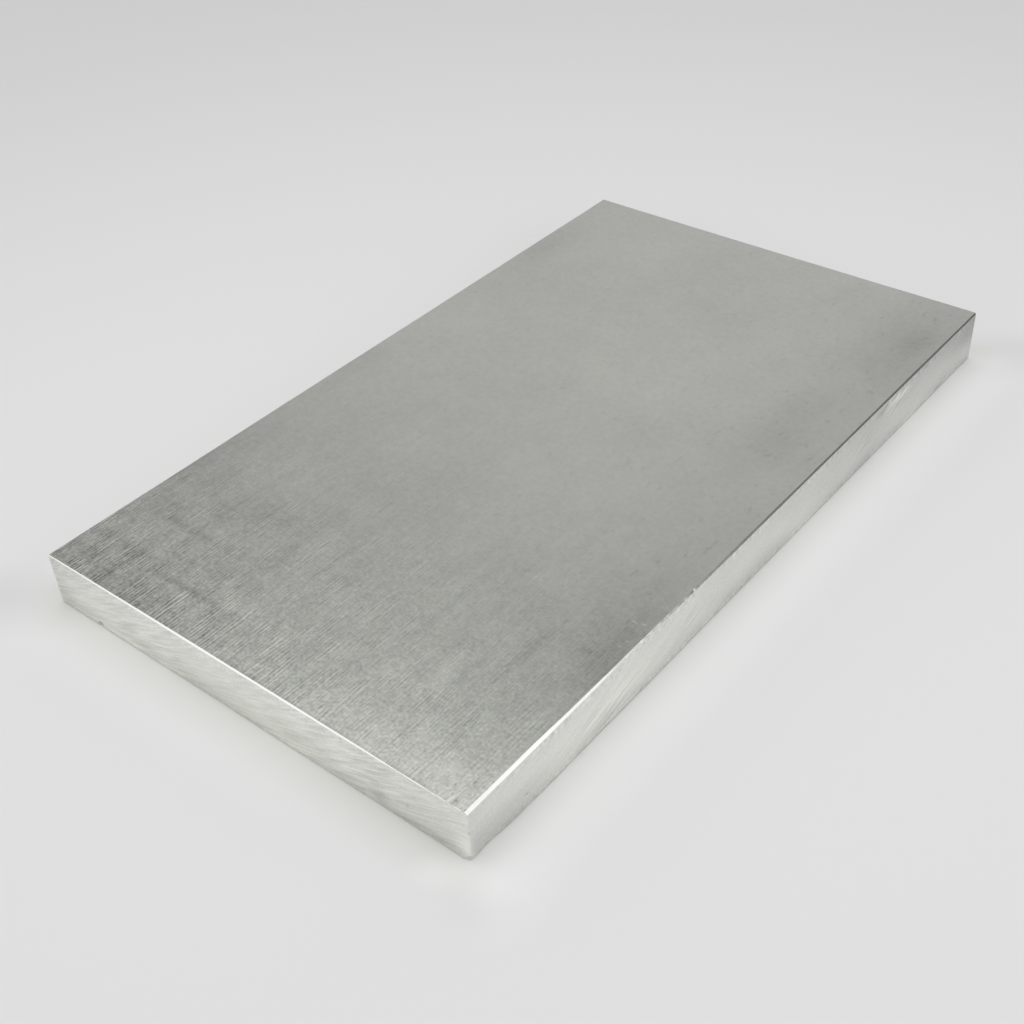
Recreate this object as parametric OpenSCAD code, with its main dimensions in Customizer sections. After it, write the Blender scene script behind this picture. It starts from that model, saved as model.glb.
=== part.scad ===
// Aluminium plate: one block of rolled plate stock, sawn to size, with its edges lightly filed.
// It lies flat on its bottom face. The origin is the centre of that face, X runs across the plate,
// Y runs along it (the rolling direction) and Z points up out of the top face. Millimetres.

/* [Plate] */
// Length, along the rolling direction
plate_length = 300; // [60:1:2000]
// Width, across the rolling direction
plate_width = 175; // [40:1:1000]
// Thickness of the rolled plate
plate_thickness = 20; // [6:0.5:100]

/* [Filed edges] */
// Leg of the bevel along the two long top edges
side_bevel = 0.55; // [0.1:0.05:2]
// Leg of the bevel along the two short top edges
end_bevel = 0.45; // [0.1:0.05:2]
// Leg of the bevel along the four bottom edges
base_bevel = 0.4; // [0.1:0.05:2]
// Leg of the bevel down the four upright edges
corner_bevel = 0.3; // [0.1:0.05:2]

/* [Hidden] */
// How far each bevel cut runs on past the ends of its edge
cut_overrun = 5;
// Colour of the mill-finish metal
metal_colour = [0.66, 0.67, 0.65];
// The two sides of the plate that a cut is repeated on
SIDES = [-1, 1];

// Square bar along Z, turned to stand on its edge. Centred on an edge of the plate,
// it takes off a bevel whose two legs are both leg long.
module bevel_bar(leg, edge_length) {
    bar_side = leg * sqrt(2);
    rotate([0, 0, 45])
        cube([bar_side, bar_side, edge_length + 2 * cut_overrun], center = true);
}

// Bevels on the long edges at height z
module long_edge_cuts(leg, z) {
    for (side = SIDES)
        translate([side * plate_width / 2, 0, z])
            rotate([90, 0, 0])
                bevel_bar(leg, plate_length);
}

// Bevels on the short edges at height z
module short_edge_cuts(leg, z) {
    for (side = SIDES)
        translate([0, side * plate_length / 2, z])
            rotate([0, 90, 0])
                bevel_bar(leg, plate_width);
}

// Bevels down the four upright edges
module corner_cuts() {
    for (side_x = SIDES, side_y = SIDES)
        translate([side_x * plate_width / 2, side_y * plate_length / 2, plate_thickness / 2])
            bevel_bar(corner_bevel, plate_thickness);
}

// The sawn block with all its edges filed
module plate() {
    color(metal_colour)
        difference() {
            translate([-plate_width / 2, -plate_length / 2, 0])
                cube([plate_width, plate_length, plate_thickness]);
            long_edge_cuts(side_bevel, plate_thickness);
            short_edge_cuts(end_bevel, plate_thickness);
            long_edge_cuts(base_bevel, 0);
            short_edge_cuts(base_bevel, 0);
            corner_cuts();
        }
}

plate();
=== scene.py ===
from math import cos, pi, radians, sin, sqrt, tan, tau

import bpy
from bpy.props import FloatProperty, FloatVectorProperty, IntProperty, PointerProperty
from mathutils import Matrix, Vector


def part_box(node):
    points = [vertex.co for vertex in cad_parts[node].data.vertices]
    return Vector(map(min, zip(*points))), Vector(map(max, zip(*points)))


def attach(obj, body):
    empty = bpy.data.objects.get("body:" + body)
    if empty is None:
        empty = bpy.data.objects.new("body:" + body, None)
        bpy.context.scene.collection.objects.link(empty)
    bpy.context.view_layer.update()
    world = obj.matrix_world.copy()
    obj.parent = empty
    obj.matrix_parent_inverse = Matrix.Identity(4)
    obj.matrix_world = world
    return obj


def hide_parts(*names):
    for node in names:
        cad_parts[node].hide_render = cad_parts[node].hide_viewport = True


bl_info = {
    "name": "Sawn Aluminium Plate",
    "version": (1, 0, 0),
    "blender": (4, 5, 0),
    "location": "3D View > Sidebar > Plate",
    "description": "Makes a sawn and filed aluminium plate from its CAD block, and a plain studio",
    "category": "Object",
}

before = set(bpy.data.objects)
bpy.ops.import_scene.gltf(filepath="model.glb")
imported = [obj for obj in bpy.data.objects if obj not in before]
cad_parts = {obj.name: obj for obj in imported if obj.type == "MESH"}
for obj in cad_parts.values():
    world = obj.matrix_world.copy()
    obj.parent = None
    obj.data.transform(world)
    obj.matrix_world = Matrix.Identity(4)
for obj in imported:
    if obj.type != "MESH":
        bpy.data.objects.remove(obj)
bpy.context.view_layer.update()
LOW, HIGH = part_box("plate")
SIZE = HIGH - LOW
MM = 0.001
# A point this close to a CAD face lies on it
ON_FACE = 0.01 * MM


def cad_bevel(face_axis, leg_axis, low_end=False):
    """Leg of a CAD bevel: how far the face at the high end of face_axis stops short along leg_axis."""
    reach = [v.co[leg_axis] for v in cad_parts["plate"].data.vertices
             if HIGH[face_axis] - v.co[face_axis] < ON_FACE]
    return min(reach) - LOW[leg_axis] if low_end else HIGH[leg_axis] - max(reach)


# --- Settings that a user can change ---

def size(name, description, default, **limits):
    """A length in metres, shown in the scene's units."""
    return FloatProperty(name=name, description=description, default=default,
                         unit="LENGTH", subtype="DISTANCE", precision=5, **limits)


def share(name, description, default):
    """A number from 0 to 1."""
    return FloatProperty(name=name, description=description, default=default,
                         min=0.0, max=1.0, subtype="FACTOR")


def colour(name, description, default):
    """A linear colour without alpha."""
    return FloatVectorProperty(name=name, description=description, default=default,
                               size=3, min=0.0, max=1.0, subtype="COLOR")


def angle(name, description, degrees):
    """An angle, given in degrees and kept in radians."""
    return FloatProperty(name=name, description=description, default=radians(degrees),
                         unit="ROTATION", subtype="ANGLE")


class PlateShape(bpy.types.PropertyGroup):
    """Sizes of the sawn and filed block"""
    length: size("Length", "Length along the rolling direction", SIZE.y)
    width: size("Width", "Width across the rolling direction", SIZE.x)
    thickness: size("Thickness", "Thickness of the plate", SIZE.z)
    side_bevel: size("Side Bevel", "Leg of the filed bevel along the long top edges", cad_bevel(0, 2))
    end_bevel: size("End Bevel", "Leg of the filed bevel along the short top edges", cad_bevel(1, 2))
    base_bevel: size("Base Bevel", "Leg of the bevel along the bottom edges", cad_bevel(0, 2, True))
    corner_bevel: size("Corner Bevel", "Leg of the bevel down the upright edges", cad_bevel(0, 1))
    heavy_stroke: size("Heavy Stroke", "Extra leg where the file bit in at a corner", 0.42 * MM)
    heavy_reach: size("Heavy Reach", "How far along the edge the heavy stroke reaches", 50 * MM)
    file_waver: share("File Waver", "How much the hand-filed bevels vary in width", 0.12)
    chatter: share("Chatter", "How far the bevels break up where the file chattered", 0.7)
    saw_radius: size("Saw Radius", "Radius of the blade that cut the long sides", 250 * MM)
    end_saw_radius: size("End Saw Radius", "Radius of the blade that cut the ends", 160 * MM)
    saw_overcut: size("Saw Overcut", "How far the blade reached below the plate", 3 * MM)
    saw_pitch: size("Saw Pitch", "Distance between the saw's heavier marks", 7 * MM)
    saw_depth: size("Saw Depth", "Depth of the saw marks", 0.05 * MM)
    columns: IntProperty(name="Columns", description="Mesh columns along each side", default=400, min=20)
    rows: IntProperty(name="Rows", description="Mesh rows up the sawn sides", default=28, min=4)
    seed: IntProperty(name="Seed", description="Seed of the uneven filing and sawing", default=7, min=0)


class PlateFinish(bpy.types.PropertyGroup):
    """Colours and gloss of the metal"""
    mill_colour: colour("Mill Finish", "Colour of the rolled faces", (0.572, 0.580, 0.539))
    sawn_colour: colour("Sawn Metal", "Colour of the sawn sides", (0.870, 0.878, 0.838))
    filed_colour: colour("Filed Metal", "Colour of the filed bevels", (0.910, 0.910, 0.890))
    mill_roughness: share("Mill Roughness", "Roughness of the rolled faces", 0.30)
    sawn_roughness: share("Sawn Roughness", "Roughness of the sawn sides", 0.42)
    filed_roughness: share("Filed Roughness", "Roughness of the filed bevels", 0.20)


class PlateStudio(bpy.types.PropertyGroup):
    """Floor, lights and camera"""
    floor_colour: colour("Floor", "Colour of the floor", (0.859, 0.859, 0.859))
    floor_size: size("Floor Size", "Side of the square floor", 3.6)
    azimuth: angle("Azimuth", "Camera's direction round the plate", 41.034)
    elevation: angle("Elevation", "Camera's height above the horizon", 38.427)
    roll: angle("Roll", "Tilt of the camera about its own axis", -3.483)
    distance: size("Distance", "From the camera to the point it looks at", 0.48405)
    aim: FloatVectorProperty(name="Aim", description="Point the camera looks at", size=3,
                             default=(0.00303, -0.02829, 0.0), unit="LENGTH", subtype="TRANSLATION")
    lens: FloatProperty(name="Lens", description="Focal length in millimetres", default=49.382, min=1.0)


# --- Building node trees ---

class Nodes:
    """Adds nodes to a tree, filling or linking their inputs in one call"""

    def __init__(self, tree):
        self.tree = tree
        tree.nodes.clear()

    def add(self, kind, inputs=None, **settings):
        """A node. inputs maps a socket's name or number to a value or to another socket."""
        node = self.tree.nodes.new(kind)
        for key, value in settings.items():
            setattr(node, key, value)
        for key, value in (inputs or {}).items():
            self.feed(node.inputs[key], value)
        return node

    def feed(self, socket, value):
        """Links another node's output to the socket, or sets the socket's own value."""
        if isinstance(value, bpy.types.NodeSocket):
            self.tree.links.new(value, socket)
        else:
            socket.default_value = value

    def place(self):
        """The shaded point, in metres from the object's origin"""
        return self.add("ShaderNodeTexCoord").outputs["Object"]

    def math(self, operation, *values):
        """Output of a Math node"""
        return self.add("ShaderNodeMath", dict(enumerate(values)), operation=operation).outputs[0]

    def chain(self, operation, result, *values):
        """The values joined in turn by one operation"""
        for value in values:
            result = self.math(operation, result, value)
        return result

    def total(self, *values):
        """Sum of the values"""
        return self.chain("ADD", *values)

    def minus(self, *values):
        """The first value less all the others"""
        return self.chain("SUBTRACT", *values)

    def product(self, *values):
        """Product of the values"""
        return self.chain("MULTIPLY", *values)

    def above(self, value, limit):
        """1 where value is above limit, and 0 elsewhere"""
        return self.math("GREATER_THAN", value, limit)

    def size_of(self, value):
        """value without its sign"""
        return self.math("ABSOLUTE", value)

    def vector(self, x=0.0, y=0.0, z=0.0):
        """A vector made of three values"""
        return self.add("ShaderNodeCombineXYZ", {0: x, 1: y, 2: z}).outputs[0]

    def split(self, vector):
        """The three parts of a vector"""
        return self.add("ShaderNodeSeparateXYZ", {0: vector}).outputs[:3]

    def length(self, vector):
        """Length of a vector"""
        return self.add("ShaderNodeVectorMath", {0: vector}, operation="LENGTH").outputs["Value"]

    def distance(self, point, other):
        """Distance between two points"""
        node = self.add("ShaderNodeVectorMath", {0: point, 1: other}, operation="DISTANCE")
        return node.outputs["Value"]

    def scaled(self, vector, factor):
        """A vector times a number"""
        node = self.add("ShaderNodeVectorMath", {0: vector, "Scale": factor}, operation="SCALE")
        return node.outputs[0]

    def fit(self, value, low, high, to_low=0.0, to_high=1.0, kind="LINEAR"):
        """value moved straight from low..high to to_low..to_high"""
        inputs = dict(enumerate((value, low, high, to_low, to_high)))
        return self.add("ShaderNodeMapRange", inputs, interpolation_type=kind).outputs[0]

    def ease(self, *values):
        """The same, but moved smoothly"""
        return self.fit(*values, kind="SMOOTHSTEP")

    def noise(self, vector, scale=1.0, detail=2.0, roughness=0.5):
        """Noise from about 0.25 to 0.75 at the points of vector, with scale waves a metre"""
        node = self.add("ShaderNodeTexNoise", {"Vector": vector, "Scale": scale, "Detail": detail,
                                               "Roughness": roughness}, noise_dimensions="3D")
        return node.outputs[0]

    def stretched(self, first, second, layer, waves_1, waves_2, detail=2.0, roughness=0.5):
        """Noise with its own waves a metre along each of two directions. Each layer differs."""
        place = self.vector(self.product(first, waves_1), self.product(second, waves_2), layer)
        return self.noise(place, detail=detail, roughness=roughness)

    def swing(self, texture, strength=1.0, middle=0.5):
        """A noise texture's swing to both sides of its middle value"""
        return self.product(self.minus(texture, middle), strength)

    def curve(self, value, points):
        """value from 0 to 1 bent along a smooth curve through points"""
        node = self.add("ShaderNodeFloatCurve", {"Factor": 1.0, "Value": value})
        line = node.mapping.curves[0]
        for point, (x, y) in zip(line.points, (points[0], points[-1])):
            point.location = (x, y)
        for x, y in points[1:-1]:
            line.points.new(x, y)
        node.mapping.update()
        return node.outputs[0]

    def spots(self, first, second, places, ragged=0.0):
        """Sum of soft elliptical spots. Each place is the middle and the reach along both directions, in
        millimetres, the strength, and a turn in degrees if it's turned. ragged makes the outlines uneven."""
        result = 0.0
        for place in places:
            middle_1, middle_2, reach_1, reach_2 = (length * MM for length in place[:4])
            strength, *turn = place[4:]
            cosine = cos(radians(sum(turn)))
            sine = sin(radians(sum(turn)))
            off_1 = self.minus(first, middle_1)
            off_2 = self.minus(second, middle_2)
            turned = self.vector(
                self.total(self.product(off_1, cosine / reach_1), self.product(off_2, sine / reach_1)),
                self.minus(self.product(off_2, cosine / reach_2), self.product(off_1, sine / reach_2)))
            away = self.total(self.length(turned), ragged)
            result = self.total(result, self.ease(away, 0.0, 1.0, strength, 0.0))
        return result


def saw_phase(n, run, height, radius, overcut):
    """Distance along a sawn side of the saw stroke through a point: each stroke is an arc of the blade,
    whose lowest point is overcut below the plate."""
    below_hub = n.minus(n.minus(radius, overcut), height)
    squared = n.minus(n.math("POWER", radius, 2.0), n.math("POWER", below_hub, 2.0))
    return n.minus(run, n.math("SQRT", squared))


# --- The block ---

# Rows of the grid below the sawn sides, and above them: a middle line, a ring round it and a bevel's edge
ROWS_BELOW = 3
# The rings lie this far in from the sides
RING_INSET = 3 * MM
# A share above this counts as the whole
WHOLE = 0.99999
# A column within this many steps of a corner still lies beside it
ONE_STEP = 1.001
# The long edges are numbered -1 and 1, and the short ones this much higher. Each one's width wanders in
# its own layer of noise, and the layers lie this many waves apart.
SHORT_EDGES = 3.0
LAYER_STEP = 7.3
# Waves a metre of the filed width, and of the file's chatter on the short and on the long edges
WAVER_WAVES = 60.0
CHATTER_WAVES = 320.0
BURR_WAVES = 800.0
# Noise swings by about a quarter: this makes it swing by one
FULL_SWING = 4.0
# The file's pressure along a short edge, from left to right
END_PRESSURE = ((0.0, 0.42), (0.15, 0.78), (0.4, 1.07), (0.72, 0.9), (0.86, 0.5), (1.0, 0.25))
# The short bevel starts to break up at the first share of its length and is worst from the second on
BREAKS_FROM, BREAKS_TO = 0.75, 0.95
BREAKS_BY = 2.0
# Where the right long bevel starts to be ragged, is fully so, starts to end and ends, from the near end
BURR_SPAN = (60 * MM, 75 * MM, 100 * MM, 130 * MM)
BURR_BY = 0.3
# The heavy stroke is full up to this share of its reach, and this share of it stays off the side
HEAVY_FULL = 0.5
HEAVY_TILT = 0.45
# Waves a metre of the saw marks up the side
SAW_RISE_WAVES = 30.0
# Small knocks on the edges: place as shares of half the width, half the length and the thickness, then
# the radius and the depth in millimetres
NICKS = ((1, -1, 1, 1.3, 0.5), (1, -1, 0.57, 0.9, 0.4), (-0.765, -1, 0.03, 1.8, 0.4), (0.93, -1, 1, 1, 0.3),
         (1, -0.84, 0.23, 1, 0.25), (1, -0.3, 1, 0.9, 0.25), (1, -1, 0, 3.2, 0.7), (1, -0.955, 0, 11, 0.75))
# Points closer than this become one
SAME_POINT = 0.001 * MM
# Edges that turn by more than this many degrees stay crisp
CRISP_TURN = 18
# Upright part of a normal: above the first the face is flat, and between both it's a bevel
FLAT_FACE = 0.97
SLOPED_FACE = 0.2


def round_the_block(n, along, middle):
    """From -1 to 1 and back once round the block, highest at middle"""
    away = n.size_of(n.minus(along, middle))
    return n.math("MAXIMUM", n.math("MINIMUM", n.minus(2.0, n.product(away, 2.0)), 1.0), -1.0)


def slid_columns(n, unit, half, columns, corner_bevel):
    """A column's distance from the block's middle. Columns next to a corner slide to its bevel's edges."""
    step = n.math("DIVIDE", n.product(half, 2.0), columns)
    gap = n.minus(half, n.product(n.size_of(unit), half))
    outer = n.fit(gap, 0.0, step, 0.0, corner_bevel)
    inner = n.fit(gap, step, half, corner_bevel, half)
    beyond = n.above(gap, n.product(step, ONE_STEP))
    slid = n.total(n.product(inner, beyond), n.product(outer, n.minus(1.0, beyond)))
    return n.minus(half, slid)


def filed_legs(n, given, seed, plan_x, plan_y, sign_x, sign_y, half_width, half_length):
    """Legs of the filed bevels along the long and the short top edges, and the drop of the long ones"""
    share_x = n.fit(plan_x, n.product(half_width, -1.0), half_width)
    near_y = n.total(plan_y, half_length)
    on_right = n.above(sign_x, 0.0)

    def waver(place, side):
        spot = n.vector(n.product(place, WAVER_WAVES), n.product(side, LAYER_STEP), seed)
        wave = n.noise(spot, detail=3.0)
        return n.math("MULTIPLY_ADD", n.swing(wave, FULL_SWING), given["File Waver"], 1.0)

    def chatter(place, waves, side):
        return n.swing(n.noise(n.vector(n.product(place, waves), side, seed)))

    full = n.product(given["Heavy Reach"], HEAVY_FULL)
    heavy = n.product(given["Heavy Stroke"], on_right, n.ease(near_y, full, given["Heavy Reach"], 1.0, 0.0))
    starts, is_full, fades, ends = BURR_SPAN
    burr = n.product(chatter(plan_y, BURR_WAVES, sign_x), n.ease(near_y, starts, is_full),
                     n.ease(near_y, fades, ends, 1.0, 0.0), on_right, given["Chatter"], BURR_BY)
    side_leg = n.product(given["Side Bevel"], n.total(waver(plan_y, sign_x), burr))
    side_leg = n.total(side_leg, heavy)
    side_drop = n.minus(side_leg, n.product(heavy, HEAVY_TILT))

    broken = n.product(chatter(plan_x, CHATTER_WAVES, sign_y), n.ease(share_x, BREAKS_FROM, BREAKS_TO),
                       given["Chatter"], BREAKS_BY)
    end_leg = n.product(given["End Bevel"], waver(plan_x, n.total(sign_y, SHORT_EDGES)),
                        n.total(n.curve(share_x, END_PRESSURE), broken))
    return side_leg, end_leg, side_drop


def dented(n, geometry, half_width, half_length, thickness):
    """The block with its small knocks pushed in"""
    spot = n.add("GeometryNodeInputPosition").outputs[0]
    for part_x, part_y, part_z, radius, depth in NICKS:
        middle = n.vector(n.product(half_width, part_x), n.product(half_length, part_y),
                          n.product(thickness, part_z))
        inwards = Vector([-part if abs(part) == 1.0 else 0.0 for part in (part_x, part_y, part_z)])
        amount = n.ease(n.distance(spot, middle), 0.0, radius * MM, depth * MM, 0.0)
        push = n.scaled(inwards.normalized(), amount)
        geometry = n.add("GeometryNodeSetPosition", {"Geometry": geometry, "Offset": push}).outputs[0]
    return geometry


def shaded_and_painted(n, geometry, materials):
    """Smooth faces with crisp edges, each with the finish for the way it faces"""
    normal_x, normal_y, normal_z = n.split(n.add("GeometryNodeInputNormal").outputs[0])
    upright = n.size_of(normal_z)
    is_level = n.above(upright, FLAT_FACE)
    smooth = n.add("GeometryNodeSetShadeSmooth", {
        "Geometry": geometry, "Selection": n.minus(1.0, is_level), "Shade Smooth": True}, domain="FACE")
    turn = n.add("GeometryNodeInputMeshEdgeAngle").outputs["Unsigned Angle"]
    crisp = n.add("GeometryNodeSetShadeSmooth", {
        "Geometry": smooth.outputs[0], "Shade Smooth": False,
        "Selection": n.above(turn, radians(CRISP_TURN))}, domain="EDGE")

    is_sloped = n.product(n.above(upright, SLOPED_FACE), n.above(FLAT_FACE, upright))
    is_end = n.above(n.size_of(normal_y), n.size_of(normal_x))
    # The base bevels are finished as the underside is; their darker colour is painted shade along the floor
    is_mill = n.math("MAXIMUM", is_level, n.above(-SLOPED_FACE, normal_z))
    painted = n.add("GeometryNodeRealizeInstances", {"Geometry": crisp.outputs[0]}).outputs[0]
    for name, chosen in (("sawn_side", True), ("sawn_end", is_end), ("filed", is_sloped), ("mill", is_mill)):
        painted = n.add("GeometryNodeSetMaterial", {
            "Geometry": painted, "Selection": chosen, "Material": materials[name]}).outputs[0]
    return painted


def block_tree(materials):
    """The tree that bends one grid round the block: columns run round its sides, and rows run from the
    middle of the underside, over the base bevel, the sawn side and the filed bevel, to the top's middle."""
    tree = bpy.data.node_groups.new("sawn_block", "GeometryNodeTree")
    tree.interface.new_socket("Geometry", in_out="OUTPUT", socket_type="NodeSocketGeometry")
    for setting in PlateShape.__annotations__.values():
        kind = "NodeSocketInt" if setting.function is IntProperty else "NodeSocketFloat"
        tree.interface.new_socket(setting.keywords["name"], in_out="INPUT", socket_type=kind)
    n = Nodes(tree)
    given = n.add("NodeGroupInput").outputs
    half_width = n.product(given["Width"], 0.5)
    half_length = n.product(given["Length"], 0.5)

    # The grid: 4 units wide, one for each side, and one unit high for each row
    row_steps = n.total(given["Rows"], 2.0 * ROWS_BELOW)
    grid = n.add("GeometryNodeMeshGrid", {
        "Size X": 4.0, "Size Y": row_steps,
        "Vertices X": n.math("MULTIPLY_ADD", given["Columns"], 4.0, 1.0),
        "Vertices Y": n.total(row_steps, 1.0)})
    grid_x, grid_y, _ = n.split(n.add("GeometryNodeInputPosition").outputs[0])
    along = n.total(grid_x, 2.0)
    half_rows = n.product(row_steps, 0.5)
    row = n.total(grid_y, half_rows)

    # The outline from above, as two numbers from -1 to 1, and then as distances
    unit_x = round_the_block(n, along, 1.5)
    unit_y = round_the_block(n, along, 2.5)
    sign_x = n.math("SIGN", unit_x)
    sign_y = n.math("SIGN", unit_y)
    on_side = n.above(n.size_of(unit_x), WHOLE)
    on_end = n.above(n.size_of(unit_y), WHOLE)
    on_corner = n.product(on_side, on_end)
    corner_bevel = given["Corner Bevel"]
    plan_x = n.product(sign_x, slid_columns(n, unit_x, half_width, given["Columns"], corner_bevel))
    plan_y = n.product(sign_y, slid_columns(n, unit_y, half_length, given["Columns"], corner_bevel))
    seed = n.total(given["Seed"], 0.5)
    side_leg, end_leg, side_drop = filed_legs(n, given, seed, plan_x, plan_y, sign_x, sign_y,
                                              half_width, half_length)

    # The rows: the height of each, and how far it stands in from the sides
    top_row = n.total(given["Rows"], ROWS_BELOW)
    off_middle = n.size_of(grid_y)
    is_cap = n.above(off_middle, n.minus(half_rows, 0.5))
    is_ring = n.above(off_middle, n.minus(half_rows, 1.5))
    is_under = n.above(ROWS_BELOW - 0.5, row)
    is_over = n.above(row, n.total(top_row, 0.5))
    is_body = n.minus(1.0, is_under, is_over)
    drop = n.total(n.product(on_side, side_drop), n.product(n.minus(1.0, on_side), end_leg))
    body_height = n.fit(row, float(ROWS_BELOW), top_row, given["Base Bevel"],
                        n.minus(given["Thickness"], drop))
    height = n.total(n.product(is_over, given["Thickness"]), n.product(is_body, body_height))

    def reach(half, top_leg):
        ridge = n.total(n.product(is_over, top_leg), n.product(is_under, given["Base Bevel"]))
        inset = n.total(n.product(is_ring, RING_INSET), n.product(n.minus(1.0, is_ring), ridge))
        cap_line = n.minus(half, n.product(is_cap, half_width))
        return n.math("MINIMUM", n.minus(half, inset), cap_line)

    # The saw's marks, always cut inwards, and the flat of the upright bevels
    def saw_marks(run, radius):
        phase = saw_phase(n, run, height, radius, given["Saw Overcut"])
        stroke = n.math("DIVIDE", phase, given["Saw Pitch"])
        layer = n.total(seed, n.total(sign_x, sign_y))
        spot = n.vector(stroke, n.product(height, SAW_RISE_WAVES), layer)
        return n.product(n.noise(spot, detail=3.0, roughness=0.6), given["Saw Depth"], is_body)

    corner_cut = n.product(on_corner, corner_bevel, 0.5)
    cut_x = n.total(n.product(saw_marks(plan_y, given["Saw Radius"]), on_side), corner_cut)
    cut_y = n.total(n.product(saw_marks(plan_x, given["End Saw Radius"]), on_end), corner_cut)

    def place(plan, sign, limit, cut):
        distance = n.math("MINIMUM", n.size_of(plan), limit)
        return n.product(sign, n.minus(distance, n.product(cut, is_body)))

    bent = n.add("GeometryNodeSetPosition", {
        "Geometry": grid.outputs[0],
        "Position": n.vector(place(plan_x, sign_x, reach(half_width, side_leg), cut_x),
                             place(plan_y, sign_y, reach(half_length, end_leg), cut_y), height)})
    knocked = dented(n, bent.outputs[0], half_width, half_length, given["Thickness"])
    closed = n.add("GeometryNodeMergeByDistance", {"Geometry": knocked, "Distance": SAME_POINT})
    n.add("NodeGroupOutput", {"Geometry": shaded_and_painted(n, closed.outputs[0], materials)})
    return tree


def new_object(name, data):
    """A new object in the scene"""
    item = bpy.data.objects.new(name, data)
    bpy.context.scene.collection.objects.link(item)
    return item


def bake_tree(name, tree, values):
    """A new object whose mesh is what the tree makes from those values"""
    carrier = new_object(name + "_carrier", bpy.data.meshes.new(name + "_carrier"))
    modifier = carrier.modifiers.new("build", "NODES")
    modifier.node_group = tree
    for item in tree.interface.items_tree:
        if item.in_out == "INPUT":
            modifier[item.identifier] = values[item.name]
    graph = bpy.context.evaluated_depsgraph_get()
    mesh = bpy.data.meshes.new_from_object(carrier.evaluated_get(graph))
    bpy.data.objects.remove(carrier)
    return new_object(name, mesh)


# --- Finishes ---

# Stains, rubbed places and scratches on the rolled face, with painted shade and reflection among them, as
# Nodes.spots takes them: positive ones darken
STAINS_AND_PAINTED_LIGHT = (
    # Broad: partly stains, partly painted shade; the last two, paler at the near right, are painted
    # reflection
    (85, -80, 16, 40, 0.14), (75, -82, 40, 60, 0.09), (79, 118, 8, 16, 0.08), (78, 125, 35, 50, 0.09),
    (68, 36, 16, 40, 0.05), (-81, 100, 12, 36, 0.06), (47, 140, 16, 12, 0.05), (-85, -15, 12, 50, 0.06),
    (-88, -88, 36, 50, 0.1), (-62, -146, 70, 16, 0.11), (-75, -130, 40, 30, 0.08), (52, -151, 55, 22, -0.26),
    (90, -147, 30, 22, -0.14),
    # Bands across the lines
    (-36, -134.7, 34, 2.6, 0.18), (-57, -114.6, 28, 2.8, 0.13), (-70, -125.5, 22, 3.4, -0.02),
    (-66, -132.5, 28, 4, 0.05), (-45, -146, 30, 6, 0.05),
    # Small and soft: partly stains, partly painted shade and painted light
    (71.3, -40.5, 3, 3, 0.07), (-17.5, -132, 11, 6, -0.11), (17.5, -132, 11, 6, 0.09),
    (-53, -99, 22, 18, 0.12), (-57, -137, 15, 9, 0.11), (-74, -113, 15, 10, 0.08), (-31, -124, 18, 9, 0.07),
    (10, -104, 9, 15, 0.07), (47, -145.5, 16, 5, 0.07), (-15, -76.5, 13, 10, -0.06),
    (57, -133, 7, 10, -0.08), (82, -129, 9, 14, -0.08), (74, -93, 12, 8, -0.06), (-48.5, -127.5, 10, 8, 0.1),
    (-45, -142, 16, 5, 0.08), (-79, -140.5, 13, 5, 0.09), (-22, -139.5, 12, 7, 0.08),
    (-3, -140, 10, 6, 0.08), (79, -110, 5, 8, 0.07), (-33, -74, 10, 12, -0.06), (75, -140, 16, 10, -0.05),
    (-72, -94, 14, 10, 0.05),
    # Short scratches and specks
    (81.1, -66.6, 1.6, 0.4, -0.4, -3), (84.1, -65.9, 1.6, 0.4, -0.4, 9), (83.4, -77.4, 1.1, 0.4, -0.35, 15),
    (84.1, -74.5, 1, 0.4, -0.3, 35), (82.6, -140.6, 0.6, 1.4, 0.3), (78.8, -144.2, 0.5, 1.6, 0.35),
    (84.6, -134.9, 0.5, 0.5, -0.4))
# Painted shade in small chips on the block: place and radius in millimetres, and how much darker each is
CHIP_SHADE_SPOTS = ((80.4, -147.2, 19.5, 1, 0.4), (82.5, -148.1, 19.5, 0.9, 0.4), (77, -148.6, 19.5, 0.7, 0.25),
         (84.5, -148.7, 19.5, 0.7, 0.3), (86.6, -149.3, 20, 0.9, 0.45), (87.5, -149.9, 11.4, 0.7, 0.3),
         (87.5, -126.2, 5, 0.8, 0.28), (65.7, -150, 7.6, 0.8, 0.18), (-67.4, -150, 1, 1.5, 0.2))
# A chip's painted shade is full up to this share of its radius
CHIP_SHADE_CORE = 0.3
# The rolled lines' distance apart and length, and how many times as long broad ones are
LINE_PITCH = 1.15 * MM
LINE_LENGTH = 10 * MM
BROAD_LENGTHS = 4
LINE_ROUGHNESS = 0.6
# The widths of their groups, of the stretches in which their pitch wanders, and of the broad lines
GROUP_WIDTH = 6.5 * MM
WANDER_WIDTH = 7.8 * MM
BROAD_WIDTH = 5.2 * MM
# The lines' strength falls to about a third over this distance from the near end
LINE_FADE = 63 * MM
# Where the gathering noise turns from gaps into groups, and the lines' strength in both. The noise is
# this much higher at the near end.
LINE_GROUPS = (0.47, 0.62, 0.25, 1.5)
GROUPS_NEAR = 0.06
# How far the pitch wanders, in lines
WANDER = 3.0
# How values change over the rolled face: where the change starts and ends, and the value before and
# after it (0 and 1 if left out)
LINES_GOING_FAR = (-0.1, 0.0, 1.0, 0.5)
LINES_GOING_RIGHT = (-0.03, 0.06, 1.0, 0.55)
LINES_FROM_CORNER = (0.01, 0.032, 0.6, 1.0)
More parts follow.
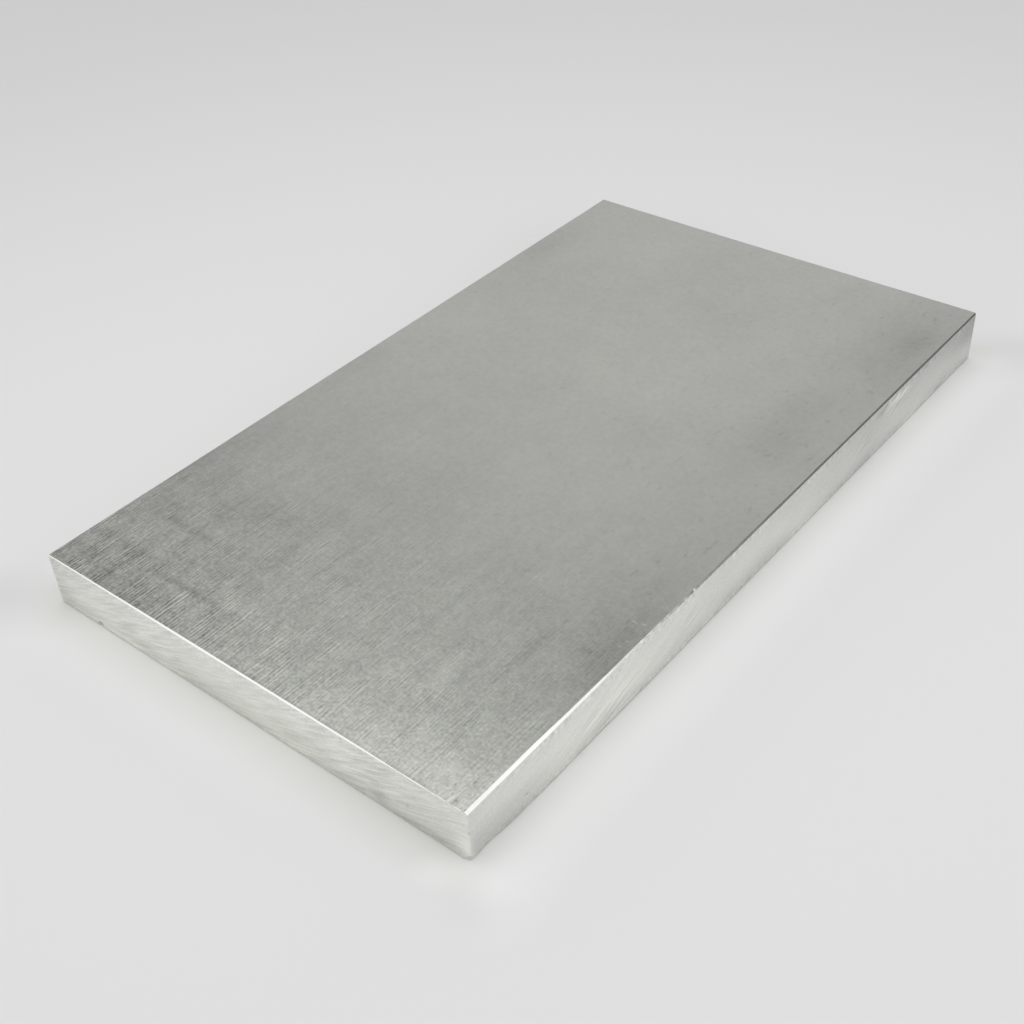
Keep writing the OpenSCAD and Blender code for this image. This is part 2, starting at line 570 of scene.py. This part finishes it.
# These two darken the near end and the far end: partly the face's own tone, partly painted reflection
SHADE_GOING_MIDDLE = (-0.095, 0.0, 0.88, 1.0)
SHADE_GOING_FAR = (0.0, 0.14, 0.0, -0.08)
BROAD_GOING_FAR = (-0.12, 0.0, 1.0, 0.15)
BANDS_GOING_RIGHT = (-0.06, 0.02, 1.0, 0.15)
FLECKS_GOING_RIGHT = (0.0, 0.08, 0.55, 1.15)
# These two darken the right part beyond the middle: partly the face's own tone, partly painted reflection
DIM_GOING_RIGHT = (0.03, 0.08)
DIM_GOING_FAR = (-0.09, -0.03, 0.0, -0.08)
# A thin broken dark line along the near edge: how it fades away from it, and where it starts and ends
EDGE_LINE_FROM_EDGE = (0.3 * MM, 1.2 * MM, 1.0, 0.0)
EDGE_LINE_FROM_LEFT = (-0.02, 0.01)
EDGE_LINE_TO_RIGHT = (0.07, 0.082, 0.18, 0.0)
# Fine lines: width as a share of the pitch, and length as a share of LINE_LENGTH
DASHES = (0.7, 0.45)
STREAKS = (0.65, 1.3)
STRAIGHT = (0.7, 6.0)
# Stretched textures: layer, waves a metre across and along, detail and roughness
BANDS = (5.0, 14.0, 150.0, 3.0, 0.6)
PATCHES = (7.0, 130.0, 70.0)
FLECKS = (3.0, 330.0, 170.0, 2.0, 0.6)
# Even textures: waves a metre, and for some their detail and roughness
CLOUD = (22.0, 6.0, 0.65)
SPECKLE = (520.0, 3.0)
GRAIN = 1000.0
SCRATCHES = 1600.0
SHEEN = 90.0
# How strongly each kind of line shows. Loose dashes also lie between the groups.
COMB_SWING = 0.085
STREAKS_SWING = 0.42
DASHES_SWING = 0.16
LOOSE_SWING = 0.26
STRAIGHT_SWING = 0.2
# How strongly each texture shows in the rolled face's shade
DRAWN_SWING = 1.42
BROAD_SWING = 0.2
BANDS_SWING = 0.5
PATCHES_SWING = 0.36
GRAIN_SWING = 0.85
FLECKS_SWING = 0.2
CLOUD_SWING = 0.26
SPECKLE_SWING = 0.16
# The speckle shows this much more at the near end, and the flecks' peaks darken the whole face
SPECKLE_NEAR = 1.8
FLECKS_SHOW = (0.6, 0.72, 0.0, -0.1)
# How the cloud moves the spots' outlines and the roughness, and how the grain breaks up the dark line
# along the near edge
SPOTS_RAGGED = 0.5
CLOUD_ROUGHNESS = 0.04
EDGE_LINE_BY_GRAIN = (0.4, 0.6, 0.3, 1.0)
# How far reflections are drawn out across the lines, the relief's depth, and the broad lines' share
MILL_STREAKING = 0.85
MILL_RELIEF = 0.012 * MM
BROAD_RELIEF = 0.15


def new_material(name):
    """An empty node material and the helper that fills it"""
    material = bpy.data.materials.new(name)
    material.use_nodes = True
    return material, Nodes(material.node_tree)


def metal(n, shade, colour, roughness, anisotropic, tangent, height, depth):
    """Ends a material's tree in bare metal: a colour times a shade, and a relief."""
    bump = n.add("ShaderNodeBump", {"Strength": 1.0, "Distance": depth, "Height": height})
    shader = n.add("ShaderNodeBsdfPrincipled", {
        "Base Color": n.scaled(tuple(colour), shade), "Metallic": 1.0, "Roughness": roughness,
        "Anisotropic": anisotropic, "Tangent": tangent, "Normal": bump.outputs[0]})
    n.add("ShaderNodeOutputMaterial", {"Surface": shader.outputs[0]})


def painted_chip_shade(n, place):
    """How much darker the painted shade in the small chips makes the metal"""
    result = 0.0
    for *lengths, strength in CHIP_SHADE_SPOTS:
        *middle, radius = (length * MM for length in lengths)
        dark = n.ease(n.distance(place, middle), radius * CHIP_SHADE_CORE, radius, strength, 0.0)
        result = n.total(result, dark)
    return result


def rolled_lines(n, x, y, z, near):
    """Fine lines along the plate, gathered in groups, from about 0 to 1"""
    def lines(width, length):
        return n.stretched(x, y, z, 1 / width, 1 / length, roughness=LINE_ROUGHNESS)

    def fine_lines(width, length):
        return lines(LINE_PITCH * width, LINE_LENGTH * length)

    gathering = n.math("MULTIPLY_ADD", near, GROUPS_NEAR, lines(GROUP_WIDTH, LINE_LENGTH))
    groups = n.ease(gathering, *LINE_GROUPS)
    wander = n.product(lines(WANDER_WIDTH, LINE_LENGTH * BROAD_LENGTHS), WANDER)
    comb = n.math("SINE", n.product(n.math("MULTIPLY_ADD", x, 1 / LINE_PITCH, wander), tau))
    dashes = fine_lines(*DASHES)
    streaks = fine_lines(*STREAKS)
    straight = fine_lines(*STRAIGHT)
    grouped = n.total(n.product(comb, COMB_SWING), n.swing(streaks, STREAKS_SWING),
                      n.swing(dashes, DASHES_SWING))
    return n.total(0.5, n.product(grouped, groups), n.swing(dashes, LOOSE_SWING),
                   n.product(n.swing(straight, STRAIGHT_SWING), n.total(groups, 1.0)))


def mill_material(finish, shape):
    """Rolled face: straight lines along the plate, strongest at the near end, with soft stains
    and painted shade and reflection
    """
    material, n = new_material("mill_finish")
    place = n.place()
    x, y, z = n.split(place)
    from_near = n.math("MULTIPLY_ADD", y, -1 / LINE_FADE, shape.length / -2 / LINE_FADE)
    near = n.product(n.math("EXPONENT", from_near), n.ease(y, *LINES_GOING_FAR))
    drawn = rolled_lines(n, x, y, z, near)
    broad = n.stretched(x, y, z, 1 / BROAD_WIDTH, 1 / (LINE_LENGTH * BROAD_LENGTHS), 3.0, LINE_ROUGHNESS)
    bands = n.stretched(x, y, *BANDS)
    patches = n.stretched(x, y, *PATCHES)
    flecks = n.stretched(x, y, *FLECKS)
    cloud = n.noise(place, *CLOUD)
    speckle = n.noise(place, *SPECKLE)
    grain = n.noise(place, GRAIN)

    corner = n.distance(n.vector(x, y), (shape.width / 2, shape.length / -2, 0.0))
    # The first two terms and the last darken the ends and the right: partly own tone, partly painted
    # reflection
    shade = n.total(
        n.ease(y, *SHADE_GOING_MIDDLE), n.ease(y, *SHADE_GOING_FAR),
        n.product(n.swing(drawn, DRAWN_SWING), near, n.ease(x, *LINES_GOING_RIGHT),
                  n.ease(corner, *LINES_FROM_CORNER)),
        n.product(n.swing(broad, BROAD_SWING), n.ease(y, *BROAD_GOING_FAR)),
        n.product(n.swing(bands, BANDS_SWING), near, n.ease(x, *BANDS_GOING_RIGHT)),
        n.product(n.swing(patches, PATCHES_SWING), near),
        n.product(n.swing(grain, GRAIN_SWING), near),
        n.product(n.swing(flecks, FLECKS_SWING), near),
        n.swing(cloud, CLOUD_SWING),
        n.product(n.swing(speckle, SPECKLE_SWING), n.total(n.product(near, SPECKLE_NEAR), 1.0)),
        n.product(n.ease(flecks, *FLECKS_SHOW), n.ease(x, *FLECKS_GOING_RIGHT)),
        n.product(n.ease(x, *DIM_GOING_RIGHT), n.ease(y, *DIM_GOING_FAR)))
    # Stains, with painted shade and painted reflection among them
    stains_and_painted_light = n.spots(x, y, STAINS_AND_PAINTED_LIGHT, ragged=n.swing(cloud, SPOTS_RAGGED))
    from_edge = n.total(y, shape.length / 2 - shape.end_bevel)
    near_edge_line = n.product(n.ease(from_edge, *EDGE_LINE_FROM_EDGE), n.ease(x, *EDGE_LINE_FROM_LEFT),
                     n.ease(x, *EDGE_LINE_TO_RIGHT), n.ease(grain, *EDGE_LINE_BY_GRAIN))
    # Less the stains and painted light, the dark line along the near edge, and the painted shade in the
    # chips
    shade = n.minus(shade, stains_and_painted_light, near_edge_line, painted_chip_shade(n, place))
    height = n.total(n.product(drawn, near), n.product(broad, BROAD_RELIEF))
    roughness = n.total(n.swing(cloud, CLOUD_ROUGHNESS), finish.mill_roughness)
    across = n.vector(x=1.0)
    metal(n, shade, finish.mill_colour, roughness, MILL_STREAKING, across, height, MILL_RELIEF)
    return material


# Stains and painted light on the long sides and on the ends: places along the side and up. At the upright
# corner, the paler spots paint a highlight up its edge and light into its contact shade at the foot; the
# rest are partly stains and partly painted shade and light
SIDE_STAINS_AND_PAINTED_LIGHT = ((-136, 6, 36, 8, 0.12), (-150, 10, 12, 20, 0.05), (150, 14, 30, 11, 0.13),
               (74.5, 17, 7, 3, 0.1), (90, 16.5, 12, 4, -0.18), (0, 3.5, 24, 6, 0.05),
               (-150, 3.5, 2.6, 10, -0.12), (-150, 0.8, 3, 1.4, -0.12))
END_STAINS_AND_PAINTED_LIGHT = ((-87.5, 10, 14, 30, 0.08), (-84, 6, 8, 5, 0.07), (20, 6.5, 14, 4, 0.08),
              (80, 1.8, 22, 3.2, 0.07), (-44, 10, 10, 4, -0.07), (55, 4, 5, 8, 0.15),
              (64.4, 1.2, 2, 1.4, 0.07), (77.5, 1.2, 2, 1.4, 0.07), (-55, 1, 35, 3, -0.15),
              (87.5, 4.5, 7, 10, -0.14), (87.5, 0.8, 4, 1.4, -0.12))
# Where the saw strokes show more
SIDE_STROKES = ((-88.5, 6, 30, 10, 1.2), (-48, 9.5, 9, 4.5, 1), (86, 16, 18, 6, 2.6), (62, 10, 12, 5, 1),
                (-125, 14, 24, 8, 0.2))
END_STROKES = ((45, 10, 60, 25, 0.35),)
# What sets the sawn faces apart. axis: the saw's way. level: the shade. contrast: how strong the strokes
# are. quiet and busy: their share between groups and in them. Then the painted light that brightens the
# top, the painted shade that darkens the cut's end, and burrs: how marked the long edges are.
SAWN_SIDE = {"axis": 1, "stains_and_painted_light": SIDE_STAINS_AND_PAINTED_LIGHT, "strokes": SIDE_STROKES, "level": 0.965, "contrast": 0.75,
             "quiet": 0.15, "busy": 0.4, "painted_light": 0.0, "painted_shade": 0.25, "burrs": 1.0}
SAWN_END = {"axis": 0, "stains_and_painted_light": END_STAINS_AND_PAINTED_LIGHT, "strokes": END_STROKES, "level": 0.95, "contrast": 1.0,
            "quiet": 0.48, "busy": 0.95, "painted_light": 1.0, "painted_shade": 0.0, "burrs": 0.5}
# The saw's strokes and its teeth's finer ones: layer, width and height, and how strongly each shows
STROKES = (1.0, 6.0 * MM, 6.0 * MM)
TEETH = (5.0, 1.6 * MM, 5.0 * MM)
STROKES_SWING = 0.6
TEETH_SWING = 0.7
# Detail and roughness of both, and where the gathering noise turns from gaps into groups
CUT_DETAIL = (3.0, 0.62)
CUT_GROUPS = (0.42, 0.6)
# Stretched textures of the sawn faces
SAWN_PATCH = (9.0, 25.0, 60.0, 3.0)
SAWN_GRAIN = (4.0, 1100.0, 1100.0)
SAWN_BURR = (8.0, 650.0, 420.0, 3.0, 0.7)
SAWN_GATHERING = (2.0, 16.0, 20.0, 1.0)
SAWN_PATCH_SWING = 0.2
SAWN_GRAIN_SWING = 0.2
# The burr's strength along the base, and along the top its middle value and where it shows
BASE_BURR_SWING = 0.6
TOP_BURR_MIDDLE = 0.52
TOP_BURR_SHOWS = (0.38, 0.54, 0.4, 1.0)
# Painted contact shade in the strip above the base, mostly darker: how uneven it is, and its middle value
BASE_SHADE_SWING = 0.65
BASE_SHADE_MIDDLE = 0.62
# How values change along and up the sawn faces: painted shade towards the far end, painted light towards
# the top, the burrs' reach from the top and the base, and painted contact shade above the base
PAINTED_SHADE_ALONG = (-0.09, 0.15, 0.0)
PAINTED_SHADE_UP = (0.0, 0.02, 0.3, 1.3)
PAINTED_LIGHT_ALONG = (-0.09, -0.02, 0.3)
PAINTED_LIGHT_UP = (0.0, 0.02, -0.02, 0.07)
BURR_FROM_TOP = (0.0012, 0.005)
BURR_FROM_BASE = (0.001, 0.004)
BASE_SHADE_UP = (0.0, 0.006, 1.0, 0.0)
# How far reflections are drawn out, the relief's depth, and the teeth's share
SAWN_STREAKING = 0.4
SAWN_RELIEF = 0.15 * MM
TEETH_RELIEF = 0.3
# The filed bevels' shade, how strongly scratches and sheen show in it, and the scratches' depth
FILED_SHADE = 0.98
SCRATCHES_SWING = 0.05
SHEEN_SWING = 0.1
SCRATCHES_RELIEF = 0.002 * MM


def sawn_material(name, finish, shape, radius, face):
    """Sawn face: shallow arcs of a blade of that radius, and burrs along the long edges"""
    material, n = new_material(name)
    place = n.place()
    parts = n.split(place)
    run = parts[face["axis"]]
    height = parts[2]
    phase = saw_phase(n, run, height, radius, shape.saw_overcut)
    # A smaller blade leaves finer strokes
    fineness = sqrt(radius / shape.saw_radius)

    def strokes(layer, width, length):
        return n.stretched(phase, height, layer, 1 / width / fineness, 1 / length, *CUT_DETAIL)

    heavy = strokes(*STROKES)
    teeth = strokes(*TEETH)
    patch = n.stretched(run, height, *SAWN_PATCH)
    grain = n.stretched(run, height, *SAWN_GRAIN)
    burr = n.stretched(run, height, *SAWN_BURR)
    gathering = n.stretched(run, height, *SAWN_GATHERING)
    groups = n.total(n.ease(gathering, *CUT_GROUPS, face["quiet"], face["busy"]),
                     n.spots(run, height, face["strokes"]))
    cuts = n.total(n.swing(heavy, STROKES_SWING * face["contrast"]),
                   n.swing(teeth, TEETH_SWING * face["contrast"]))
    top_burr = n.product(n.swing(burr, middle=TOP_BURR_MIDDLE), n.ease(patch, *TOP_BURR_SHOWS),
                         n.ease(n.minus(shape.thickness, height), *BURR_FROM_TOP, face["burrs"], 0.0))
    base_burr = n.product(n.swing(burr, BASE_BURR_SWING),
                          n.ease(height, *BURR_FROM_BASE, face["burrs"], 0.0))
    # Painted contact shade: the strip above the base, where it meets the floor, mostly darker
    base = n.product(n.swing(patch, BASE_SHADE_SWING, BASE_SHADE_MIDDLE), n.ease(height, *BASE_SHADE_UP))
    # Painted light: brighter to the top and a little darker at the foot, on long sides only near the near
    # end
    painted_light = n.product(n.ease(run, *PAINTED_LIGHT_ALONG, face["painted_light"]), n.fit(height, *PAINTED_LIGHT_UP))
    # Painted shade: the long sides darker towards their far end, most at the top
    painted_far_shade = n.product(n.ease(run, *PAINTED_SHADE_ALONG, face["painted_shade"]), n.fit(height, *PAINTED_SHADE_UP))
    bright = n.total(face["level"], painted_light, n.product(cuts, groups), n.swing(patch, SAWN_PATCH_SWING),
                     n.swing(grain, SAWN_GRAIN_SWING), top_burr, base_burr, base)
    # Less the painted far shade, the stains with painted light, and the painted shade in the chips
    shade = n.minus(bright, painted_far_shade, n.spots(run, height, face["stains_and_painted_light"]), painted_chip_shade(n, place))
    relief = n.total(heavy, n.product(teeth, TEETH_RELIEF))
    upwards = n.vector(z=1.0)
    metal(n, shade, finish.sawn_colour, finish.sawn_roughness, SAWN_STREAKING, upwards, relief, SAWN_RELIEF)
    return material


def filed_material(finish):
    """Filed bevel: bright metal with short scratches"""
    material, n = new_material("filed_bevel")
    place = n.place()
    scratches = n.noise(place, SCRATCHES)
    sheen = n.noise(place, SHEEN)
    shade = n.total(FILED_SHADE, n.swing(scratches, SCRATCHES_SWING), n.swing(sheen, SHEEN_SWING))
    upwards = n.vector(z=1.0)
    metal(n, shade, finish.filed_colour, finish.filed_roughness, 0.0, upwards, scratches, SCRATCHES_RELIEF)
    return material


# --- The studio ---

# Painted falloff of the light: the floor darkens a little between these distances from the plate's middle,
# to the last share
FLOOR_PAINTED_FALLOFF = (0.09, 0.6, 1.0, 0.885)
# Painted light from the plate's sides, which thins its contact shadow: the floor is a little paler up to
# the first distance from the plate, and not at all from the second on: by the third number beside the right
# side, and by the fourth in front of the near end's left part
FLOOR_PAINTED_LIGHT = (0.004, 0.03, 0.115, 0.05)
# The floor's front and right side melt into each other over this distance
FLOOR_TURN = (-0.01, 0.01)
# Painted shadows beside the plate's corners, where it is darker, and painted light, paler below zero
FLOOR_PAINTED_SHADE_AND_LIGHT = ((-99, -156.5, 50, 23, 0.11, 41), (99, 159, 40, 23, 0.095, 41), (82.5, -157, 12, 9, -0.08, 41),
               (99, -160, 15, 10, 0.04, 41))
# Painted bounce light from the near end takes away this share of the floor's blue in front of it, and fades
# out between these distances
FLOOR_PAINTED_TINT = 0.035
FLOOR_PAINTED_TINT_REACH = (0.004, 0.014)
# The floor fades into the colour of the walls between these distances from the plate's middle
FLOOR_FADE = (0.75, 1.7)
# It reaches this far under the plate's edges, and is open below the rest of the plate
FLOOR_LAP = 1.9 * MM
# Brightness of the studio's walls and ceiling at each height above the horizon, in degrees
SKY_LEVELS = ((0, 0.58), (12, 0.62), (19, 0.8), (35, 0.82), (39, 0.58), (46, 0.44), (49, 0.92),
              (56, 1.0), (90, 0.96))
# Dark round cards with soft edges, for the metal to mirror: azimuth from +X towards +Y, height above the
# horizon, outer and inner radius of the soft edge, in degrees, and how much of the wall each hides
CARDS = ((57, 20, 23.5, 11.5, 0.95), (152, 38, 28, 4, 0.24), (240, 26, 34, 20, 0.7), (5, 26, 34, 22, 0.7))
CARD_DISTANCE = 3.0
CARD_SHADE = (0.1, 0.1, 0.1, 1.0)
# Soft lamps: name, azimuth and height above the horizon in degrees, distance, width, height, brightness
SOFTBOXES = (("right_softbox", 4, 27, 1, 1, 0.6, 0.8), ("left_softbox", 240, 27, 1, 0.8, 0.6, 0.78),
             ("ceiling_softbox", 0, 90, 1.1, 1, 1, 0.3))
SENSOR_WIDTH = 36.0
CLIP_START = 0.01


def square(half):
    """Corners of a square round the origin"""
    return [(-half, -half, 0.0), (half, -half, 0.0), (half, half, 0.0), (-half, half, 0.0)]


def towards(azimuth, elevation):
    """Unit vector in a direction. azimuth counts from +X towards +Y; both are in degrees."""
    turn = radians(azimuth)
    rise = radians(elevation)
    return Vector((cos(turn) * cos(rise), sin(turn) * cos(rise), sin(rise)))


def fading(n, amount, solid, clear):
    """Ends a material's tree: solid where amount is 0 and clear where it is 1."""
    mixed = n.add("ShaderNodeMixShader", {0: amount, 1: solid.outputs[0], 2: clear.outputs[0]})
    n.add("ShaderNodeOutputMaterial", {"Surface": mixed.outputs[0]})


def floor_material(studio):
    """Pale paper, with painted light and shade round the plate and a painted falloff away from it"""
    material, n = new_material("floor_paper")
    place = n.place()
    x, y, _ = n.split(place)
    away = n.length(place)
    beyond_x = n.math("MAXIMUM", n.minus(n.size_of(x), SIZE.x / 2), 0.0)
    beyond_y = n.math("MAXIMUM", n.minus(n.size_of(y), SIZE.y / 2), 0.0)
    gap = n.length(n.vector(beyond_x, beyond_y))
    beside = n.ease(n.minus(x, SIZE.x / 2, beyond_y), *FLOOR_TURN)
    in_front = n.minus(1.0, beside)
    near, far, painted_light_beside, painted_light_in_front = FLOOR_PAINTED_LIGHT
    # Painted light from the plate's sides, beside the right side and in front of the near end
    painted_light = n.total(n.product(beside, painted_light_beside),
                   n.product(in_front, n.ease(x, 0.0, SIZE.x / 2, painted_light_in_front, 0.0)))
    # Painted falloff away from the plate, and painted light close to it
    shade = n.total(n.ease(away, *FLOOR_PAINTED_FALLOFF), n.product(painted_light, n.ease(gap, near, far, 1.0, 0.0)))
    # Painted shadows and painted light beside the plate's corners
    shade = n.minus(shade, n.spots(x, y, FLOOR_PAINTED_SHADE_AND_LIGHT))
    # Painted bounce light: less blue on the floor in front of the near end
    lost_blue = n.product(in_front, n.ease(gap, *FLOOR_PAINTED_TINT_REACH, FLOOR_PAINTED_TINT, 0.0))
    red, green, blue = studio.floor_colour
    tinted = n.vector(n.product(shade, red), n.product(shade, green),
                      n.product(n.minus(shade, lost_blue), blue))
    paper = n.add("ShaderNodeBsdfDiffuse", {"Color": tinted})
    fading(n, n.ease(away, *FLOOR_FADE), paper, n.add("ShaderNodeBsdfTransparent"))
    return material


def add_floor(studio):
    """A wide pale floor under the plate"""
    outer = square(studio.floor_size / 2)
    inner = [(x * (SIZE.x / 2 - FLOOR_LAP), y * (SIZE.y / 2 - FLOOR_LAP), 0.0) for x, y, _ in square(1.0)]
    faces = [(i, (i + 1) % 4, (i + 1) % 4 + 4, i + 4) for i in range(4)]
    mesh = bpy.data.meshes.new("floor")
    mesh.from_pydata(outer + inner, [], faces)
    mesh.materials.append(floor_material(studio))
    floor = new_object("floor", mesh)


def add_sky():
    """Pale walls, a dimmer band above them and a bright soft ceiling"""
    world = bpy.data.worlds.new("studio")
    bpy.context.scene.world = world
    world.use_nodes = True
    n = Nodes(world.node_tree)
    direction = n.add("ShaderNodeTexCoord").outputs["Generated"]
    ramp = n.add("ShaderNodeValToRGB", {0: n.split(direction)[2]})
    stops = ramp.color_ramp.elements
    while len(stops) > 1:
        stops.remove(stops[-1])
    for height, level in SKY_LEVELS:
        stop = stops.new(sin(radians(height))) if height > 0 else stops[0]
        stop.color = (level, level, level, 1.0)
    sky = n.add("ShaderNodeBackground", {"Color": ramp.outputs[0], "Strength": 1.0})
    n.add("ShaderNodeOutputWorld", {"Surface": sky.outputs[0]})


def face_plate(item, direction, distance):
    """Stands a lamp or a card in a direction, facing the plate, out of the camera's sight."""
    item.location = direction * distance
    item.rotation_mode = "QUATERNION"
    item.rotation_quaternion = direction.to_track_quat("Z", "Y")
    item.visible_camera = False


def add_card(name, direction, outer, inner, hides):
    """A dark card with a soft round edge"""
    edge = CARD_DISTANCE * tan(radians(outer))
    core = CARD_DISTANCE * tan(radians(inner))
    mesh = bpy.data.meshes.new(name)
    mesh.from_pydata(square(edge), [], [(0, 1, 2, 3)])
    material, n = new_material(name)
    away = n.length(n.place())
    dark = n.add("ShaderNodeEmission", {"Color": CARD_SHADE, "Strength": 1.0})
    clearness = n.ease(away, core, edge, 1.0 - hides, 1.0)
    fading(n, clearness, dark, n.add("ShaderNodeBsdfTransparent"))
    mesh.materials.append(material)
    card = new_object(name, mesh)
    face_plate(card, direction, CARD_DISTANCE)


def add_softbox(name, direction, distance, width, height, brightness):
    """A rectangular lamp that faces the plate from a direction"""
    data = bpy.data.lights.new(name, "AREA")
    data.shape = "RECTANGLE"
    data.size = width
    data.size_y = height
    data.energy = brightness * pi * width * height
    face_plate(new_object(name, data), direction, distance)


def add_camera(studio):
    """The camera, turned about its aim and rolled about its own axis"""
    across, rise = studio.azimuth, studio.elevation
    back = Vector((sin(across) * cos(rise), -cos(across) * cos(rise), sin(rise)))
    right = Vector((cos(across), sin(across), 0.0))
    level = Matrix((right, back.cross(right), back)).transposed()
    turned = level @ Matrix.Rotation(studio.roll, 3, "Z")
    data = bpy.data.cameras.new("camera")
    data.lens = studio.lens
    data.sensor_width = SENSOR_WIDTH
    data.clip_start = CLIP_START
    camera = new_object("camera", data)
    camera.matrix_world = Matrix.Translation(Vector(studio.aim) + back * studio.distance) @ turned.to_4x4()
    bpy.context.scene.camera = camera


# --- Operators and panel ---

class PLATE_OT_block(bpy.types.Operator):
    """Make the sawn and filed block in place of the plain CAD one"""
    bl_idname = "plate.block"
    bl_label = "Sawn Block"

    def execute(self, context):
        shape = context.scene.plate_shape
        finish = context.scene.plate_finish
        materials = {"mill": mill_material(finish, shape),
                     "sawn_side": sawn_material("sawn_side", finish, shape, shape.saw_radius, SAWN_SIDE),
                     "sawn_end": sawn_material("sawn_end", finish, shape, shape.end_saw_radius, SAWN_END),
                     "filed": filed_material(finish)}
        values = {setting.keywords["name"]: getattr(shape, name)
                  for name, setting in PlateShape.__annotations__.items()}
        piece = bake_tree("sawn_block", block_tree(materials), values)
        if len(piece.data.polygons) == 0:
            raise RuntimeError("the block's tree made no faces")
        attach(piece, "root")
        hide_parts("plate")
        return {"FINISHED"}


class PLATE_OT_studio(bpy.types.Operator):
    """Make the floor, the walls, the cards, the soft lamps and the camera"""
    bl_idname = "plate.studio"
    bl_label = "Studio"

    def execute(self, context):
        studio = context.scene.plate_studio
        context.scene.view_settings.view_transform = "Standard"
        add_floor(studio)
        add_sky()
        for number, (azimuth, elevation, outer, inner, hides) in enumerate(CARDS, 1):
            add_card(f"card_{number}", towards(azimuth, elevation), outer, inner, hides)
        for name, azimuth, elevation, distance, width, height, brightness in SOFTBOXES:
            add_softbox(name, towards(azimuth, elevation), distance, width, height, brightness)
        add_camera(studio)
        return {"FINISHED"}


class PLATE_PT_panel(bpy.types.Panel):
    """The plate's makers and settings"""
    bl_idname = "PLATE_PT_panel"
    bl_label = "Aluminium Plate"
    bl_space_type = "VIEW_3D"
    bl_region_type = "UI"
    bl_category = "Plate"

    def draw(self, context):
        scene = context.scene
        self.layout.operator(PLATE_OT_block.bl_idname)
        self.draw_settings(scene.plate_shape)
        self.draw_settings(scene.plate_finish)
        self.layout.operator(PLATE_OT_studio.bl_idname)
        self.draw_settings(scene.plate_studio)

    def draw_settings(self, group):
        """A column with every setting of a group"""
        column = self.layout.column(align=True)
        for name in group.__annotations__:
            column.prop(group, name)


GROUPS = {"plate_shape": PlateShape, "plate_finish": PlateFinish, "plate_studio": PlateStudio}
CLASSES = (*GROUPS.values(), PLATE_OT_block, PLATE_OT_studio, PLATE_PT_panel)


def register():
    """Adds the classes, and their settings to every scene."""
    for cls in CLASSES:
        bpy.utils.register_class(cls)
    for name, group in GROUPS.items():
        setattr(bpy.types.Scene, name, PointerProperty(type=group))


def unregister():
    """Takes the settings and the classes away again."""
    for name in GROUPS:
        delattr(bpy.types.Scene, name)
    for cls in reversed(CLASSES):
        bpy.utils.unregister_class(cls)


def main():
    register()
    bpy.ops.plate.block()
    bpy.ops.plate.studio()


if __name__ == "__main__":
    main()
